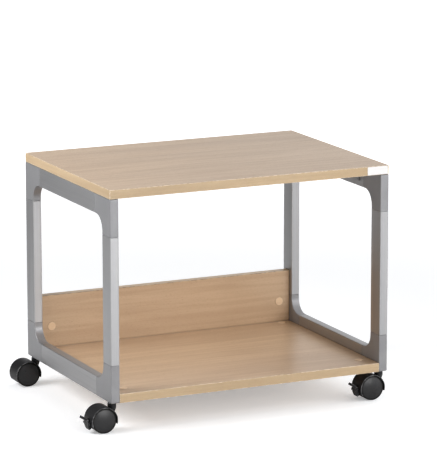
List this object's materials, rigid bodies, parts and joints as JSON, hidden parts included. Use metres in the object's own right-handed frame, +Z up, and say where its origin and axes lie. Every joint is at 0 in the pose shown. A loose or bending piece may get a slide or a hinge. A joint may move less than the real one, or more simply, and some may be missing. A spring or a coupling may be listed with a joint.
{
  "type": "mobile printer stand",
  "caption": "Low mobile stand for an office printer: aluminium side frames, beech top shelf, lower shelf with back panel, swivelling castors with brakes at the front.",
  "frame": {"origin": "on the floor under the centre of the top shelf", "axes": "+X to the right along the shelves, +Y to the back panel, +Z up"},
  "size_m": [0.658, 0.436, 0.477],
  "materials": {
    "beech_laminate": "satin beech decor on chipboard",
    "beech_edge_band": "satin beech decor edging",
    "cast_corner_grey": "fine silver-grey powder coat on die-cast metal",
    "anodised_aluminium": "satin anodised",
    "label_white": "smooth white film",
    "cover_cap_beech": "satin moulded",
    "zinc_steel": "zinc plated",
    "bright_steel": "turned and plated",
    "blackened_steel": "blackened",
    "bracket_steel": "silver-grey paint",
    "castor_plastic": "fine moulded black nylon",
    "wheel_black": "hard black tread",
    "hub_cap_black": "satin black"
  },
  "bodies": {
    "stand": {"back_panel_board": "beech_laminate", "back_panel_edge_bands": "beech_edge_band", "bracket_screws": "zinc_steel", "cam_bolts": "zinc_steel", "cam_cover_caps": "cover_cap_beech", "cam_discs": "zinc_steel", "castor_stem_sockets": "bright_steel", "castor_stems": "bright_steel", "front_label": "label_white", "left_front_lower_corner": "cast_corner_grey", "left_front_post": "anodised_aluminium", "left_front_upper_corner": "cast_corner_grey", "left_lower_rail": "anodised_aluminium", "left_rear_lower_corner": "cast_corner_grey", "left_rear_post": "anodised_aluminium", "left_rear_upper_corner": "cast_corner_grey", "left_shelf_brackets": "bracket_steel", "left_top_rail": "anodised_aluminium", "lower_shelf_board": "beech_laminate", "lower_shelf_edge_bands": "beech_edge_band", "right_front_lower_corner": "cast_corner_grey", "right_front_post": "anodised_aluminium", "right_front_upper_corner": "cast_corner_grey", "right_lower_rail": "anodised_aluminium", "right_rear_lower_corner": "cast_corner_grey", "right_rear_post": "anodised_aluminium", "right_rear_upper_corner": "cast_corner_grey", "right_shelf_brackets": "bracket_steel", "right_top_rail": "anodised_aluminium", "top_shelf_board": "beech_laminate", "top_shelf_edge_bands": "beech_edge_band"},
    "front_left_castor": {"front_left_castor_hood": "castor_plastic", "front_left_castor_axle": "bright_steel", "front_left_castor_brake_pin": "blackened_steel"},
    "front_left_castor_front_wheel": {"front_left_castor_front_wheel": "wheel_black", "front_left_castor_front_hub_cap": "hub_cap_black"},
    "front_left_castor_back_wheel": {"front_left_castor_back_wheel": "wheel_black", "front_left_castor_back_hub_cap": "hub_cap_black"},
    "front_left_castor_brake_lever": {"front_left_castor_brake_lever": "castor_plastic"},
    "front_right_castor": {"front_right_castor_hood": "castor_plastic", "front_right_castor_axle": "bright_steel", "front_right_castor_brake_pin": "blackened_steel"},
    "front_right_castor_front_wheel": {"front_right_castor_front_wheel": "wheel_black", "front_right_castor_front_hub_cap": "hub_cap_black"},
    "front_right_castor_back_wheel": {"front_right_castor_back_wheel": "wheel_black", "front_right_castor_back_hub_cap": "hub_cap_black"},
    "front_right_castor_brake_lever": {"front_right_castor_brake_lever": "castor_plastic"},
    "rear_left_castor": {"rear_left_castor_hood": "castor_plastic", "rear_left_castor_axle": "bright_steel"},
    "rear_left_castor_front_wheel": {"rear_left_castor_front_wheel": "wheel_black", "rear_left_castor_front_hub_cap": "hub_cap_black"},
    "rear_left_castor_back_wheel": {"rear_left_castor_back_wheel": "wheel_black", "rear_left_castor_back_hub_cap": "hub_cap_black"},
    "rear_right_castor": {"rear_right_castor_hood": "castor_plastic", "rear_right_castor_axle": "bright_steel"},
    "rear_right_castor_front_wheel": {"rear_right_castor_front_wheel": "wheel_black", "rear_right_castor_front_hub_cap": "hub_cap_black"},
    "rear_right_castor_back_wheel": {"rear_right_castor_back_wheel": "wheel_black", "rear_right_castor_back_hub_cap": "hub_cap_black"}
  },
  "joints": [
    {"name": "front_left_castor_swivel", "type": "hinge", "parent": "stand", "child": "front_left_castor", "pos_m": [-0.291, -0.1965, 0.04], "axis": [0, 0, 1], "continuous": true},
    {"name": "front_left_castor_front_wheel_spin", "type": "hinge", "parent": "front_left_castor", "child": "front_left_castor_front_wheel", "pos_m": [-0.3135, -0.1965, 0.025], "axis": [0, 1, 0], "continuous": true},
    {"name": "front_left_castor_back_wheel_spin", "type": "hinge", "parent": "front_left_castor", "child": "front_left_castor_back_wheel", "pos_m": [-0.3135, -0.1965, 0.025], "axis": [0, 1, 0], "continuous": true},
    {"name": "front_left_brake", "type": "hinge", "parent": "front_left_castor", "child": "front_left_castor_brake_lever", "pos_m": [-0.3437, -0.1965, 0.02075], "axis": [0, -1, 0], "range_deg": [0, 13]},
    {"name": "front_right_castor_swivel", "type": "hinge", "parent": "stand", "child": "front_right_castor", "pos_m": [0.291, -0.1965, 0.04], "axis": [0, 0, 1], "continuous": true},
    {"name": "front_right_castor_front_wheel_spin", "type": "hinge", "parent": "front_right_castor", "child": "front_right_castor_front_wheel", "pos_m": [0.2685, -0.1965, 0.025], "axis": [0, 1, 0], "continuous": true},
    {"name": "front_right_castor_back_wheel_spin", "type": "hinge", "parent": "front_right_castor", "child": "front_right_castor_back_wheel", "pos_m": [0.2685, -0.1965, 0.025], "axis": [0, 1, 0], "continuous": true},
    {"name": "front_right_brake", "type": "hinge", "parent": "front_right_castor", "child": "front_right_castor_brake_lever", "pos_m": [0.2383, -0.1965, 0.02075], "axis": [0, -1, 0], "range_deg": [0, 13]},
    {"name": "rear_left_castor_swivel", "type": "hinge", "parent": "stand", "child": "rear_left_castor", "pos_m": [-0.291, 0.1965, 0.04], "axis": [0, 0, 1], "continuous": true},
    {"name": "rear_left_castor_front_wheel_spin", "type": "hinge", "parent": "rear_left_castor", "child": "rear_left_castor_front_wheel", "pos_m": [-0.3135, 0.1965, 0.025], "axis": [0, 1, 0], "continuous": true},
    {"name": "rear_left_castor_back_wheel_spin", "type": "hinge", "parent": "rear_left_castor", "child": "rear_left_castor_back_wheel", "pos_m": [-0.3135, 0.1965, 0.025], "axis": [0, 1, 0], "continuous": true},
    {"name": "rear_right_castor_swivel", "type": "hinge", "parent": "stand", "child": "rear_right_castor", "pos_m": [0.291, 0.1965, 0.04], "axis": [0, 0, 1], "continuous": true},
    {"name": "rear_right_castor_front_wheel_spin", "type": "hinge", "parent": "rear_right_castor", "child": "rear_right_castor_front_wheel", "pos_m": [0.2685, 0.1965, 0.025], "axis": [0, 1, 0], "continuous": true},
    {"name": "rear_right_castor_back_wheel_spin", "type": "hinge", "parent": "rear_right_castor", "child": "rear_right_castor_back_wheel", "pos_m": [0.2685, 0.1965, 0.025], "axis": [0, 1, 0], "continuous": true}
  ]
}
